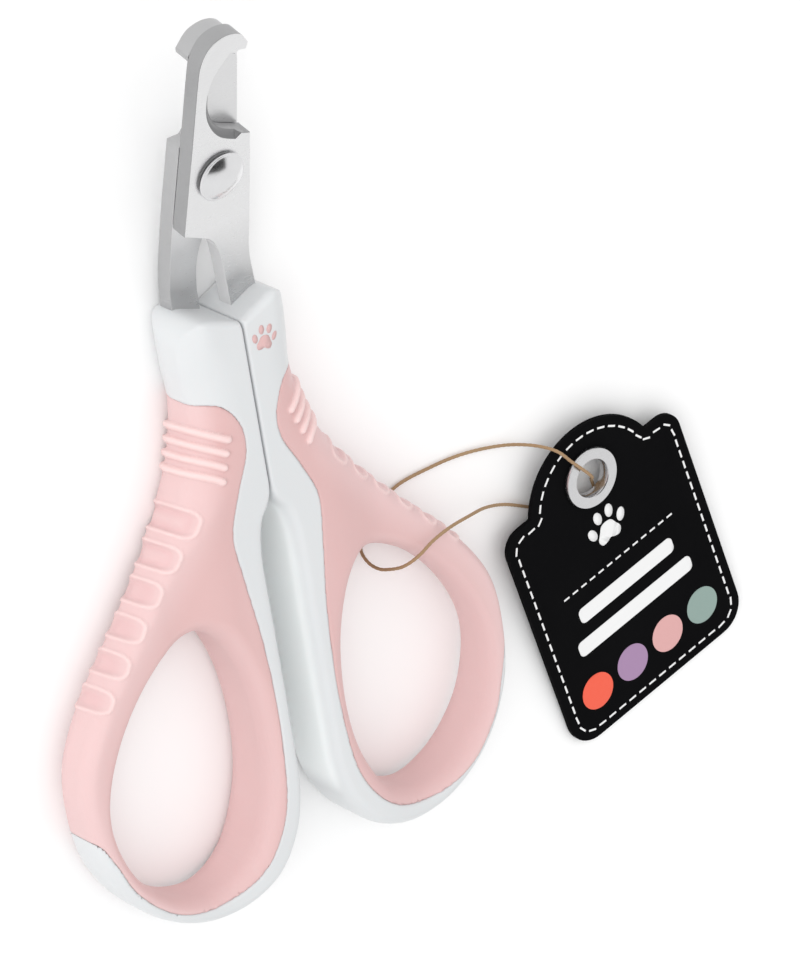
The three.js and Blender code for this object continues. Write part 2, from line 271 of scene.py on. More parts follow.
def steelMaterial(name, base, roughness, grain, stretch, bumpStrength, paintedShade=None):
    material, nodes, links, shader = newMaterial(name)
    lines = objectNoise(nodes, links, grain, 4.0, stretch)
    cloud = objectNoise(nodes, links, 120.0, 3.0)
    darker = tuple(c * 0.9 for c in base)
    colour = mixColours(nodes, links, lines.outputs["Fac"], darker, base)
    # painted shade, darker towards the handles
    if paintedShade:
        coords = nodes.new("ShaderNodeTexCoord")
        parts = nodes.new("ShaderNodeSeparateXYZ")
        links.new(coords.outputs["Object"], parts.inputs["Vector"])
        shadeNearHandle = rangeOf(nodes, links, parts.outputs["Y"], 1.0, 0.0, paintedShade["from"], paintedShade["to"])
        colour = mixOver(nodes, links, shadeNearHandle, colour, paintedShade["colour"])
    links.new(colour, shader.inputs["Base Color"])
    shader.inputs["Metallic"].default_value = 1.0
    mixed = nodes.new("ShaderNodeMath")
    mixed.operation = "MULTIPLY"
    links.new(lines.outputs["Fac"], mixed.inputs[0])
    links.new(cloud.outputs["Fac"], mixed.inputs[1])
    rough = rangeOf(nodes, links, mixed.outputs["Value"], roughness * 0.8, roughness * 1.25, 0.1, 0.4)
    links.new(rough, shader.inputs["Roughness"])
    addBump(nodes, links, shader, lines.outputs["Fac"], bumpStrength, 0.00003)
    return material


def attributeValue(nodes, name):
    node = nodes.new("ShaderNodeAttribute")
    node.attribute_name = name
    return node.outputs["Fac"]


def mixOver(nodes, links, factor, under, colour):
    mix = nodes.new("ShaderNodeMix")
    mix.data_type = "RGBA"
    links.new(factor, mix.inputs["Factor"])
    links.new(under, mix.inputs["A"])
    mix.inputs["B"].default_value = (*colour, 1)
    return mix.outputs["Result"]


def gripMaterial(name, finish):
    # Soft-touch skin with painted light: painted light on the outer rim and the finger hole's walls, a
    # painted highlight on what stands up, and painted light lifting the shade in the pad hollows.
    material, nodes, links, shader = newMaterial(name)
    tone = objectNoise(nodes, links, 60.0, 3.0)
    fine = objectNoise(nodes, links, 3200.0, 2.0)
    colour = mixColours(nodes, links, tone.outputs["Fac"], *finish["base"])
    colour = mixOver(nodes, links, attributeValue(nodes, "outward"), colour, finish["outer"])
    colour = mixOver(nodes, links, attributeValue(nodes, "paintedHollowLight"), colour, finish["hollowLightColour"])
    colour = mixOver(nodes, links, attributeValue(nodes, "paintedRaisedHighlight"), colour, finish["raisedHighlightColour"])
    links.new(colour, shader.inputs["Base Color"])
    links.new(rangeOf(nodes, links, fine.outputs["Fac"], 0.46, 0.56), shader.inputs["Roughness"])
    shader.inputs["Subsurface Weight"].default_value = 0.08
    shader.inputs["Subsurface Radius"].default_value = (0.0012, 0.0007, 0.0007)
    addBump(nodes, links, shader, fine.outputs["Fac"], 0.22, 0.00005)
    return material


finishes = {
    "grip": {
        "base": ((0.665, 0.425, 0.415), (0.705, 0.46, 0.45)),
        # painted light on the outer rim and the finger hole's walls
        "outer": (0.745, 0.525, 0.52),
        # painted light lifting the shade in the pad hollows
        "hollowLightColour": (0.735, 0.49, 0.49),
        # painted highlight on ribs, pad pillows and rims
        "raisedHighlightColour": (0.85, 0.635, 0.62),
    },
    "shell": {
        "first": (0.66, 0.675, 0.685), "second": (0.69, 0.703, 0.712),
        "roughness": 0.33, "grain": 2600.0, "bumpStrength": 0.08, "subsurface": 0.04,
        # painted light on the gap walls, which face each other and stand in shade
        "paintedLightZone": ("gapPaintedLight", (0.93, 0.95, 0.95)),    # the walls that face each other across the gap
    },
    # a pale, unmetallic finish on the shanks' inner sides: painted light where they stand in shade
    "shankSidePaintedLight": {
        "first": (0.62, 0.62, 0.625), "second": (0.67, 0.67, 0.675),
        "roughness": 0.5, "grain": 1800.0, "bumpStrength": 0.1,
    },
    "card": {
        "first": (0.003, 0.003, 0.0035), "second": (0.005, 0.005, 0.0055),
        "roughness": 0.7, "grain": 900.0, "bumpStrength": 0.1,
    },
    "twine": {
        "first": (0.27, 0.165, 0.085), "second": (0.42, 0.28, 0.16),
        "roughness": 0.85, "grain": 4000.0, "bumpStrength": 0.6,
    },
}
# Painted shade: the shanks are darker towards the handles, where the bend turns them from the light.
shankPaintedShade = {"from": (shiftY - 11) * mm, "to": (shiftY + 3) * mm, "colour": (0.60, 0.60, 0.605)}
brushed = {"grain": 2400.0, "stretch": (0.5, 3, 3), "bumpStrength": 0.035, "paintedShade": shankPaintedShade}
ground = {"roughness": 0.45, "grain": 1800.0, "stretch": (2, 2, 2), "bumpStrength": 0.5}
steels = {
    "blade": {"base": (0.92, 0.92, 0.925), "roughness": 0.3, **brushed},
    # a darker copy of the blade steel: painted shade on the back blade
    "shadedBackBlade": {"base": (0.84, 0.84, 0.845), "roughness": 0.32, **brushed},
    # the bite's ground face: real grinding streaks, with a dark colour that is painted shade
    "bite": {
        "base": (0.27, 0.27, 0.275), "roughness": 0.4,
        "grain": 2200.0, "stretch": (1, 1, 3), "bumpStrength": 0.3,
    },
    "edge": {"base": (0.42, 0.42, 0.425), **ground},
    # a paler copy of the edge steel: painted light on the back blade's edges
    "litBackEdge": {"base": (0.53, 0.53, 0.535), **ground},
    "eyelet": {
        "base": (0.74, 0.74, 0.75), "roughness": 0.2,
        "grain": 700.0, "stretch": (1, 1, 1), "bumpStrength": 0.05,
    },
    "rivet": {
        "base": (0.86, 0.86, 0.87), "roughness": 0.2,
        "grain": 500.0, "stretch": (1, 1, 1), "bumpStrength": 0.02,
    },
}
cardSpecular = 0.02
pinkSkin = gripMaterial("soft pink skin", finishes["grip"])
whiteShell = plasticMaterial("white shell", **finishes["shell"])
bladeSteel = steelMaterial("brushed blade", **steels["blade"])
shadedBackBladeSteel = steelMaterial("back blade steel with painted shade", **steels["shadedBackBlade"])
shadedBiteSteel = steelMaterial("bite steel with painted shade", **steels["bite"])
shankSidePaintedLight = plasticMaterial("shank side with painted light", **finishes["shankSidePaintedLight"])
groundSteel = steelMaterial("ground edge", **steels["edge"])
litBackEdgeSteel = steelMaterial("back blade edge with painted light", **steels["litBackEdge"])
eyeletSteel = steelMaterial("eyelet", **steels["eyelet"])
mirrorSteel = steelMaterial("polished rivet", **steels["rivet"])
cardBlack = plasticMaterial("black card", **finishes["card"])
cardBlack.node_tree.nodes["Principled BSDF"].inputs["Specular IOR Level"].default_value = cardSpecular
kraftTwine = plasticMaterial("kraft twine", **finishes["twine"])
print("materials made")


# camera, light, floor
cameraSettings = {
    "azimuth": -131.45,
    "elevation": 47.89,
    "roll": 113.88,
    "distance": 1.07013,
    "target": (25.63, -48.74, 0.0),    # in the drawing's own millimetres
    "lens": 338.4,
}


def placeCamera(s):
    turn, lift, roll = (math.radians(s[k]) for k in ("azimuth", "elevation", "roll"))
    back = Vector((math.sin(turn) * math.cos(lift), -math.cos(turn) * math.cos(lift), math.sin(lift)))
    across = Vector((0, 0, 1)).cross(back).normalized()
    upward = back.cross(across)
    xAxis = math.cos(roll) * across + math.sin(roll) * upward
    yAxis = -math.sin(roll) * across + math.cos(roll) * upward
    data = bpy.data.cameras.new("camera")
    data.sensor_fit = "HORIZONTAL"
    data.sensor_width = 36.0
    data.lens = s["lens"]
    data.clip_end = 20
    camera = bpy.data.objects.new("camera", data)
    bpy.context.scene.collection.objects.link(camera)
    place = Matrix((xAxis, yAxis, back)).transposed().to_4x4()
    x, y, z = s["target"]
    place.translation = Vector((x, y + shiftY, z + datumZ)) * mm + back * s["distance"]
    camera.matrix_world = place
    bpy.context.scene.camera = camera


placeCamera(cameraSettings)

lightSettings = {
    "worldStrength": 0.9,
    "floorColour": (0.985, 0.985, 0.985),
    "floorReach": 6.0,
}
# Square lamps, all aimed at the frame's origin; lengths in metres.
lamps = {
    "key": {"place": (-0.75, 0.35, 0.5), "width": 0.7, "energy": 2.6},
    "front": {"place": (-0.52, 0.46, 0.95), "width": 0.5, "energy": 1.6},
    "fill": {"place": (0.2, -0.1, 1.2), "width": 0.9, "energy": 0.6},
}
# A dark card at this distance from the rivet, mirrored by the blades.
flagSettings = {
    "about": (0, 0.044, 0.01),
    "direction": (0.12, -0.24, 0.94),
    "distance": 0.8,
    "size": (0.46, 0.72),
    "turn": math.radians(60),
}


def makeFloor(colour):
    material, nodes, links, shader = newMaterial("pale table")
    grain = objectNoise(nodes, links, 40.0, 3.0)
    darker = tuple(c * 0.985 for c in colour)
    links.new(mixColours(nodes, links, grain.outputs["Fac"], darker, colour), shader.inputs["Base Color"])
    shader.inputs["Roughness"].default_value = 0.9
    reach = lightSettings["floorReach"]
    floor = meshObject(
        "floor", [(-reach, -reach, 0), (reach, -reach, 0), (reach, reach, 0), (-reach, reach, 0)],
        [(0, 1, 2, 3)], material, smooth=False)


def areaLight(name, place, width, energy):
    data = bpy.data.lights.new(name, "AREA")
    data.shape = "SQUARE"
    data.size = width
    data.energy = energy
    lamp = bpy.data.objects.new(name, data)
    bpy.context.scene.collection.objects.link(lamp)
    lamp.location = place
    lamp.rotation_euler = (-Vector(place)).to_track_quat("-Z", "Y").to_euler()
    lamp.visible_glossy = False


def darkFlag(name, s):
    # Seen by nothing but what mirrors it.
    material, nodes, links, shader = newMaterial(name)
    grain = objectNoise(nodes, links, 3.0)
    links.new(mixColours(nodes, links, grain.outputs["Fac"], (0.01, 0.01, 0.01), (0.03, 0.03, 0.03)),
              shader.inputs["Base Color"])
    shader.inputs["Roughness"].default_value = 1.0
    shader.inputs["Specular IOR Level"].default_value = 0.0
    x, y = s["size"][0] / 2, s["size"][1] / 2
    corners = [(-x, -y, 0), (x, -y, 0), (x, y, 0), (-x, y, 0)]
    flag = meshObject(name, corners, [(0, 1, 2, 3)], material, smooth=False)
    aim = Vector(s["direction"]).normalized()
    facing = aim.to_track_quat("Z", "Y").to_matrix() @ Matrix.Rotation(s["turn"], 3, "Z")
    flag.rotation_euler = facing.to_euler()
    flag.location = aim * s["distance"] + Vector(s["about"])
    flag.visible_camera = False
    flag.visible_diffuse = False
    flag.visible_shadow = False


def makeWorld(strength):
    world = bpy.data.worlds.new("studio")
    world.use_nodes = True
    background = world.node_tree.nodes["Background"]
    background.inputs["Color"].default_value = (1.0, 1.0, 1.0, 1)
    background.inputs["Strength"].default_value = strength
    bpy.context.scene.world = world


makeFloor(lightSettings["floorColour"])
makeWorld(lightSettings["worldStrength"])
for name, lamp in lamps.items():
    areaLight(name, **lamp)
darkFlag("flag", flagSettings)
bpy.context.scene.view_settings.view_transform = "Standard"
print("camera, light and floor set")


# handles: shells and soft grips
# Outlines are of the right half, seen from the front; the left half mirrors them.
handleKnots = [
    (0.15, -11.4), (3, -10.2), (6.4, -9.2), (8.7, -11.2), (9.2, -16), (8.9, -22.5),
    (10.4, -29.6), (14, -37.2), (22.7, -48.8), (32.4, -60), (36.8, -68), (37.6, -75.5),
    (36, -84.5), (30.6, -93), (23, -98), (16, -98.9), (8.6, -95.8), (4.6, -90.5),
    (2.9, -84.5), (2.6, -78), (2.5, -60), (2.4, -46), (1.6, -42), (0.5, -39.5), (0.15, -38),
]
holeKnots = [
    (15.2, -54.6), (21.6, -57.3), (28.2, -63.9), (32.6, -72.4), (33.4, -79), (30.8, -87.3),
    (25, -93), (19, -94.6), (13, -91.9), (9.1, -84.9), (7.6, -75.6), (8.8, -64), (12, -56.6),
]
gripKnots = [
    (13, -21.6), (9.2, -21.7), (5.6, -22.4), (3.2, -26), (3, -30), (5.6, -36), (7.6, -41.5),
    (7, -49), (5.7, -60), (5.4, -76), (7.2, -87.4), (12.2, -94), (19.2, -96.1),
    (26.6, -94.2), (32.4, -88.4), (35.2, -82), (37, -78.6), (41, -77.2),
]
handleShape = {
    "halfThick": 6.0,
    "sideRound": 2.0,       # width of the rounding at the sides of the arms
    "sideRise": 3.2,        # and its height
    "crownRound": 7.6,      # the shoulder falls away from the seam to its outer side
    "crownRise": 5.4,
    "backRound": 4.8,       # the same on the back
    "backRise": 5.0,
    "crestRound": 1.5,      # at the end that the blades come out of
    "seamRound": 0.5,       # along the closed seam
    "seamRise": 0.55,
    "holeRound": 3.0,       # round the finger hole, on its inner side
    "power": 2.2,           # how square the roundings are
    "slimmingTop": 0.36,    # how much lower the outer arm is on its front face
    "slimmingBack": 0.30,
    "step": 0.3,            # spacing of the net
    "low": (-0.9, -100.2, -7.2),
    "high": (39.0, -8.0, 7.21),
    "blend": 0.12,          # reach of the blend of the rim with the shoulder
    "partingGap": 0.008,    # between the shell and the grip, on each side
    "partingRound": 0.09,
}
ribShape = {"count": 4, "first": -22.9, "pitch": 2.1, "height": 0.7, "halfWidth": 0.52}
padShape = {
    "count": 6,
    "first": (13, -38),
    "run": (18, -20.4),     # from the first pad to the last
    "half": 1.68,           # half the first pad's width
    "narrowing": 0.25,      # by which the last one's is less
    "depth": 0.6,
    "pillow": 0.5,
    "rim": 0.32,
    "round": 1.1,
}
reliefLean = 0.11           # ribs and pads slope down the arm towards the back, this much per millimetre
outline = splinePoints(handleKnots, 8)
# everything on the inner side of the outer arm, carried on past the handle's ends
crownRegion = np.vstack([(8.6, 20), outline[30:121], (-30, -115), (-30, 20)])
hole = splinePoints(holeKnots, 8, closed=True)
gripRegion = np.vstack([splinePoints(gripKnots, 8), [(48, -70), (44, -50), (20, -18)]])


def ribLine(k):
    y = ribShape["first"] - ribShape["pitch"] * k
    start = np.array((5.6 + 0.7 * k, y - 4.4 + 0.2 * k))
    bend = np.array((8.6, y - 2.6))
    end = np.array((13.5 + k, y + 0.6))
    t = np.linspace(0, 1, 9)[:, None]
    return (1 - t) ** 2 * start + 2 * t * (1 - t) * bend + t ** 2 * end


def padRelief(points):
    # How far the grip's skin is let in (positive) or stands up (negative) around the pads.
    p = padShape
    relief = np.zeros(len(points))
    outward = np.array((0.8, 0.6))
    along = np.array((-0.6, 0.8))
    for k in range(p["count"]):
        t = k / (p["count"] - 1)
        centre = np.array(p["first"]) + t * np.array(p["run"]) - 0.3 * outward
        half = p["half"] - p["narrowing"] * t
        away = points - centre
        u, v = away @ outward, away @ along
        corner = p["round"]
        qx = -u + corner
        qy = np.abs(v) - half + corner
        box = np.minimum(np.maximum(qx, qy), 0) + np.hypot(np.maximum(qx, 0), np.maximum(qy, 0)) - corner
        dip = p["depth"] * smoothStep(-box, -0.05, 0.45)
        swell = p["pillow"] * np.clip(-box / half, 0, 1) ** 0.8
        rim = p["rim"] * np.exp(-((box - 0.25) / 0.28) ** 2)
        relief += np.where(u > -3, dip - swell - rim, 0)
    return relief


def reliefOf(points):
    # Ribs and pads together.
    relief = np.zeros(len(points))
    x, y, z = points.T
    near = (y < -17) & (y > -66) & (x > 3)    # no relief elsewhere
    if not near.any():
        return relief
    plan = np.stack([x[near], y[near] + reliefLean * (handleShape["halfThick"] - z[near])], 1)
    found = padRelief(plan)
    for k in range(ribShape["count"]):
        gap = lineDistance(plan, ribLine(k))
        found -= ribShape["height"] * np.exp(-(gap / ribShape["halfWidth"]) ** 4)
    relief[near] = found
    return relief


def planOf(points):
    # What depends only on where a point is in plan.
    s = handleShape
    x, y = points[:, 0], points[:, 1]
    outer = polygonDistance(points, outline)
    inner = -polygonDistance(points, hole)
    upper = smoothStep(y, -44, -30)
    crownRound = s["crownRound"] + (s["backRound"] - s["crownRound"]) * smoothStep(y, -19, -12)
    width = s["sideRound"] + (s["crestRound"] - s["sideRound"]) * upper
    rise = s["sideRise"] + (s["crestRound"] - s["sideRise"]) * upper
    crest = smoothStep(y, -15, -12) * (1 - smoothStep(x, 6.0, 9.0))
    width = width + (s["crestRound"] - width) * crest
    rise = rise + (s["crestRound"] - rise) * crest
    nearSeam = smoothStep(-x, -6.0, -3.8) * smoothStep(-y, 10.6, 12.6) * (1 - smoothStep(-y, 36, 42))
    width = width + (s["seamRound"] - width) * nearSeam
    rise = rise + (s["seamRise"] - rise) * nearSeam
    holeWidth = s["holeRound"] + (s["sideRound"] - s["holeRound"]) * smoothStep(x, 14, 24)
    isHole = smoothStep(inner - outer, -1.0, 1.0)
    width = width + (holeWidth - width) * isHole
    rise = rise + (s["sideRise"] + 0.6 - rise) * isHole
    slim = smoothStep(x, 9, 19.5) * (0.45 + 0.55 * smoothStep(y, -97, -70))
    return {
        "edge": np.maximum(outer, inner),
        "crown": polygonDistance(points, crownRegion),
        "crownWidth": s["sideRound"] + (crownRound - s["sideRound"]) * upper,
        "crownRise": s["sideRise"] + (s["crownRise"] - s["sideRise"]) * upper,
        "backWidth": s["sideRound"] + (s["backRound"] - s["sideRound"]) * upper,
        "backRise": s["sideRise"] + (s["backRise"] - s["sideRise"]) * upper,
        "width": width,
        "rise": rise,
        "top": s["halfThick"] * (1 - s["slimmingTop"] * slim),
        "back": s["halfThick"] * (1 - s["slimmingBack"] * slim),
        "grip": -polygonDistance(points, gripRegion),
    }


def roundedEdge(edge, width, rise, half, z):
    # Signed distance, roughly, to a slab of this half thickness with a rounded rim.
    p = handleShape["power"]
    u = np.maximum((edge + width) / width, 0)
    v = np.maximum((np.abs(z) - half + rise) / rise, 0)
    norm = np.maximum((u ** p + v ** p) ** (1 / p), 1e-3)
    slope = np.hypot(u ** (p - 1) / width, v ** (p - 1) / rise) * norm ** (1 - p)
    return (norm - 1) / np.maximum(slope, 0.15)


def handleField(plan, z, relief, which):
    half = np.where(z > 0, plan["top"], plan["back"])
    rim = roundedEdge(plan["edge"], plan["width"], plan["rise"], half, z)
    crownWidth = np.where(z > 0, plan["crownWidth"], plan["backWidth"])
    crownRise = np.where(z > 0, plan["crownRise"], plan["backRise"])
    crown = roundedEdge(plan["crown"], crownWidth, crownRise, half, z)
    s = handleShape
    body = softMax(rim, crown, s["blend"])
    if which == "grip":
        return softMax(body + relief, s["partingGap"] - plan["grip"], s["partingRound"])
    return softMax(body, s["partingGap"] + plan["grip"], s["partingRound"])


def faceHeight(x, y):
    # Height of the front face over the middle of the handle.
    plan = planOf(np.array([(x, y)]))
    p = handleShape["power"]
    drops = []
    for edge, width, rise in (("edge", "width", "rise"), ("crown", "crownWidth", "crownRise")):
        u = max((plan[edge][0] + plan[width][0]) / plan[width][0], 0)
        drops.append(plan[rise][0] * (1 - max(1 - u ** p, 0) ** (1 / p)))
    return plan["top"][0] - max(drops)


def paintValues(obj, verts, which):
    # Masks for the painted light: a painted highlight on what stands up, painted light in the pad hollows,
    # on the outer rim and on the hole walls, and painted light on the walls inside the gap.
    if which == "shell":
        # painted light on the walls inside the gap, fading out towards the front
        wall = (1 - smoothStep(verts[:, 0], 3.0, 4.2)) * smoothStep(-verts[:, 1], 39, 42)
        layer = obj.data.attributes.new("gapPaintedLight", "FLOAT", "POINT")
        layer.data.foreach_set("value", (wall * (1 - smoothStep(verts[:, 2], 3.6, 5.4))).astype(np.float32))
        return
    relief = reliefOf(verts)
    outer = polygonDistance(verts[:, :2], outline)
    inner = -polygonDistance(verts[:, :2], hole)
    # painted light on the outer arm's rim and on the finger hole's walls
    onRim = smoothStep(outer, -6.5, -0.3) * smoothStep(verts[:, 0], 5.5, 8.5)
    onHole = 0.8 * smoothStep(inner, -3.0, -0.2)
    values = {
        # where the painted highlight goes on what stands up
        "paintedRaisedHighlight": smoothStep(-relief, 0.05, 0.36),
        # where painted light lifts the pad hollows
        "paintedHollowLight": smoothStep(relief, 0.1, 0.5),
        "outward": np.maximum(onRim, onHole),
    }
    for name, found in values.items():
        layer = obj.data.attributes.new(name, "FLOAT", "POINT")
        layer.data.foreach_set("value", found.astype(np.float32))


def fieldAt(verts, which):
    relief = reliefOf(verts) if which == "grip" else 0
    return handleField(planOf(verts[:, :2]), verts[:, 2], relief, which)


def refine(verts, which):
    # Moves vertices onto the exact surface along its slope.
    probe, flattest, longest = 0.02, 0.25, 0.12
    value = fieldAt(verts, which)
    slope = np.zeros_like(verts)
    for axis in range(3):
        moved = verts.copy()
        moved[:, axis] += probe
        slope[:, axis] = (fieldAt(moved, which) - value) / probe
    size = np.maximum((slope ** 2).sum(1), flattest)
    move = (value / size)[:, None] * slope
    length = np.linalg.norm(move, axis=1)[:, None]
    return verts - move * np.minimum(1, longest / np.maximum(length, 1e-9))


def handleMesh(which):
    step = handleShape["step"]
    xs, ys, zs = (np.arange(low, high, step) for low, high in zip(handleShape["low"], handleShape["high"]))
    gx, gy = np.meshgrid(xs, ys, indexing="ij")
    plan = planOf(np.stack([gx.ravel(), gy.ravel()], 1))
    plan = {k: v.reshape(len(xs), len(ys), 1) for k, v in plan.items()}
    relief = 0
    if which == "grip":
        layers = [np.stack([gx.ravel(), gy.ravel(), np.full(gx.size, z)], 1) for z in zs]
        relief = np.stack([reliefOf(layer).reshape(gx.shape) for layer in layers], -1)
    field = handleField(plan, zs[None, None, :], relief, which)
    verts, quads = surfaceNet(field, np.array([xs[0], ys[0], zs[0]]), step)
    return refine(refine(verts, which), which), quads


def inFrame(verts, side=1):
    out = np.array(verts, float)
    out[:, 0] *= side
    out[:, 1] += shiftY
    out[:, 2] = np.maximum(out[:, 2] + midZ, 0.0)
    return out * mm


def pieceName(label, which):
    return f"{label}_shell" if which == "shell" else f"{label}_soft_grip"


for which, material, slotName, cadName in (
    ("shell", whiteShell, "white_plastic", "handle"),
    ("grip", pinkSkin, "pink_grip", "grip"),
):
    verts, quads = handleMesh(which)
    for side, label, body in ((1, "right", rightHalf), (-1, "left", leftHalf)):
        faces = quads if side == 1 else quads[:, ::-1]
        piece = meshObject(pieceName(label, which), inFrame(verts, side), faces, material)
        paintValues(piece, verts, which)
        finishPiece(piece, body, [f"{label}_{cadName}"])
    print("made", cadName, "pair,", len(quads), "quads each")


# blades
bladeShape = {
    "tilt": math.radians(18),
    "faceHeight": 2.8,      # from the joint plane to a blade's face
    "jointGap": 0.07,
    "tangDrop": 1.5,        # joint plane of the tangs below the datum
    "bendRadius": 24.0,
    "bevel": 0.1,
    "biteGrind": 1.0,       # width of the ground face round the front blade's bite
    "pivotAlong": 12.8,
    "cuts": (-9.5, 0.6, 0.5),    # first, end and spacing
}
shankOutside = [(4.9, -36), (6.35, -26), (6.2, -8), (5.85, -3.6), (5.6, 5.7), (5.05, 17.9)]
shankInside = [
    (-5.7, 4.4), (-3.2, 3.1), (-1.2, 1.9), (0.1, 0), (1.1, -3.6), (1.6, -8), (1.65, -26), (2.6, -36),
]
spineSide = [(-4.55, 29), (-4.9, 21), (-5.3, 12.5), (-5.7, 4.4)]
deepBite = [
    (3.9, 18.3), (0.2, 20.4), (-1.6, 23.4), (-1.9, 26.2), (-1.2, 29.4), (0.9, 32), (2.2, 33.1), (3.6, 32.9),
]
shallowBite = [(3.1, 17.8), (1.7, 20), (1.2, 25), (1.8, 29.4), (4.1, 32.3)]
frontHook = [(3.9, 33.9), (2.4, 35.9), (-0.2, 36.6), (-2.6, 35.8), (-4.1, 33.3), (-4.55, 29)]
backHook = [(4.2, 33), (2.4, 35.2), (-0.2, 35.8), (-2.5, 35), (-4, 32.8), (-4.55, 29)]


def bladeOutline(bite, hook):
    lower = splinePoints(shankOutside, 6)
    upper = np.vstack([splinePoints(bite, 8), splinePoints(hook, 8)])
    spine = splinePoints(spineSide, 4)[1:]
    inner = splinePoints(shankInside[:6], 7)[1:]
    return np.vstack([lower, upper, spine, inner, shankInside[6:]])


def bendBlade(x, s, w):
    # Puts a point of the flat blank where the bent blade has it.
    b = bladeShape
    tilt, radius = b["tilt"], b["bendRadius"]
    reach = radius * math.tan(tilt / 2)
    start = reach - b["tangDrop"] / math.sin(tilt)
    arc = radius * tilt
    into = min(max(start - s, 0), arc)
    angle = tilt - into / radius
    along = start * math.cos(tilt) - radius * (math.sin(tilt) - math.sin(angle))
    up = start * math.sin(tilt) + radius * (math.cos(tilt) - math.cos(angle))
    past = max(s - start, 0) - max(start - arc - s, 0)
    along += past * math.cos(angle)
    up += past * math.sin(angle)
    return x, along - w * math.sin(angle), up + w * math.cos(angle)


def isRim(edge):
    # Whether an edge runs along a face of the blank, not through its thickness.
    return abs(edge.verts[0].co.z - edge.verts[1].co.z) < 1e-6


def bladeBlank(bite, hook, low, high):
    bm = bmesh.new()
    base = bm.faces.new([bm.verts.new((x, s, low)) for x, s in bladeOutline(bite, hook)])
    made = bmesh.ops.extrude_face_region(bm, geom=[base])
    top = [v for v in made["geom"] if isinstance(v, bmesh.types.BMVert)]
    bmesh.ops.translate(bm, verts=top, vec=(0, 0, high - low))
    bmesh.ops.recalc_face_normals(bm, faces=bm.faces)
    return bm


def grindBite(bm, bite):
    # The slanted face that is ground round the bite, short of the hook's tip.
    ground = {(round(x, 4), round(s, 4)) for x, s in splinePoints(bite, 8)[2:-11]}

    def isGround(vert):
        return vert.co.z > 1 and (round(vert.co.x, 4), round(vert.co.y, 4)) in ground

    onBite = [e for e in bm.edges if isRim(e) and all(isGround(v) for v in e.verts)]
    bmesh.ops.bevel(bm, geom=onBite, offset=bladeShape["biteGrind"], segments=1, profile=0.5,
                    affect="EDGES", clamp_overlap=False)


def softenRims(bm):
    rims = [e for e in bm.edges if e.is_manifold and e.calc_face_angle(0) > 0.9 and isRim(e)]
    bmesh.ops.bevel(bm, geom=rims, offset=bladeShape["bevel"], segments=2, profile=0.5,
                    affect="EDGES", clamp_overlap=True)


def cutForBend(bm):
    # Cuts across the blank, so that it can bend.
    for s in np.arange(*bladeShape["cuts"]):
        cut = bm.verts[:] + bm.edges[:] + bm.faces[:]
        bmesh.ops.bisect_plane(bm, geom=cut, plane_co=(0, s, 0), plane_no=(0, 1, 0))
    bm.normal_update()


def paintBlade(bm, front):
    # Slots: 0 face, 1 edge, 2 inner side of the shank, with painted light, 3 the bite's ground face, with
    # painted shade.
    for face in bm.faces:
        middle = face.calc_center_median()
        level = abs(face.normal.z)
        insideShank = -1.4 < middle.x < 2 and middle.y < 1.8
        onBite = front and 17.5 < middle.y < 33.5 and 0.3 < level < 0.9
        face.material_index = 0
        if onBite:
            face.material_index = 3
        elif level < 0.6:
            face.material_index = 2 if insideShank else 1
        face.smooth = True


def makeBlade(name, bite, hook, front, body, nodes):
    b = bladeShape
    low, high = (b["jointGap"], b["faceHeight"]) if front else (-b["faceHeight"], -b["jointGap"])
    bm = bladeBlank(bite, hook, low, high)
    if front:
        grindBite(bm, bite)
    softenRims(bm)
    cutForBend(bm)
    paintBlade(bm, front)
    for vert in bm.verts:
        x, y, z = bendBlade(*vert.co)
        vert.co = Vector((x if front else -x, y + shiftY, z + datumZ)) * mm
    if not front:
        bmesh.ops.reverse_faces(bm, faces=bm.faces)
    mesh = bpy.data.meshes.new(name)
    bm.to_mesh(mesh)
    bm.free()
    obj = bpy.data.objects.new(name, mesh)
    bpy.context.scene.collection.objects.link(obj)
    # the back blade's steels: painted shade on its faces, painted light on its edges
    mesh.materials.append(bladeSteel if front else shadedBackBladeSteel)
    mesh.materials.append(groundSteel if front else litBackEdgeSteel)
    mesh.materials.append(shankSidePaintedLight)
    mesh.materials.append(shadedBiteSteel)
    obj.modifiers.new("even faces", "WEIGHTED_NORMAL").weight = 100
    settle(obj)
    return finishPiece(obj, body, nodes)


makeBlade("front_plate", deepBite, frontHook, True, rightHalf, ["front_blade"])
makeBlade("back_plate", shallowBite, backHook, False, leftHalf, ["back_blade"])
print("blades made")


# rivet
def latheMesh(name, profile, material, place, segments=96):
    # Turns a closed or axis-to-axis profile of (radius, height); place maps a point to the frame.
    verts, faces, rows = [], [], []
    for radius, height in profile:
        if radius < 1e-6:
            rows.append([len(verts)] * segments)
            verts.append(place(0, 0, height))
            continue
        rows.append(list(range(len(verts), len(verts) + segments)))
        for k in range(segments):
            a = 2 * math.pi * k / segments
            verts.append(place(radius * math.cos(a), radius * math.sin(a), height))
    for one, two in zip(rows[:-1], rows[1:]):
        for k in range(segments):
            n = (k + 1) % segments
            face = []
            for index in (one[k], one[n], two[n], two[k]):
                if index not in face:
                    face.append(index)
            if len(face) > 2:
                faces.append(face)
    obj = meshObject(name, verts, faces, material)
    obj.data.set_sharp_from_angle(angle=math.radians(38))
    return obj


def arcPoints(centre, radius, start, end, count):
    out = []
    for k in range(count + 1):
        a = math.radians(start + (end - start) * k / count)
        out.append((centre[0] + radius * math.cos(a), centre[1] + radius * math.sin(a)))
    return out


def onHead(x, y, w):
    tilt = bladeShape["tilt"]
    s = y + bladeShape["pivotAlong"]
    return Vector((
        x, s * math.cos(tilt) - w * math.sin(tilt) + shiftY, s * math.sin(tilt) + w * math.cos(tilt) + datumZ
    )) * mm


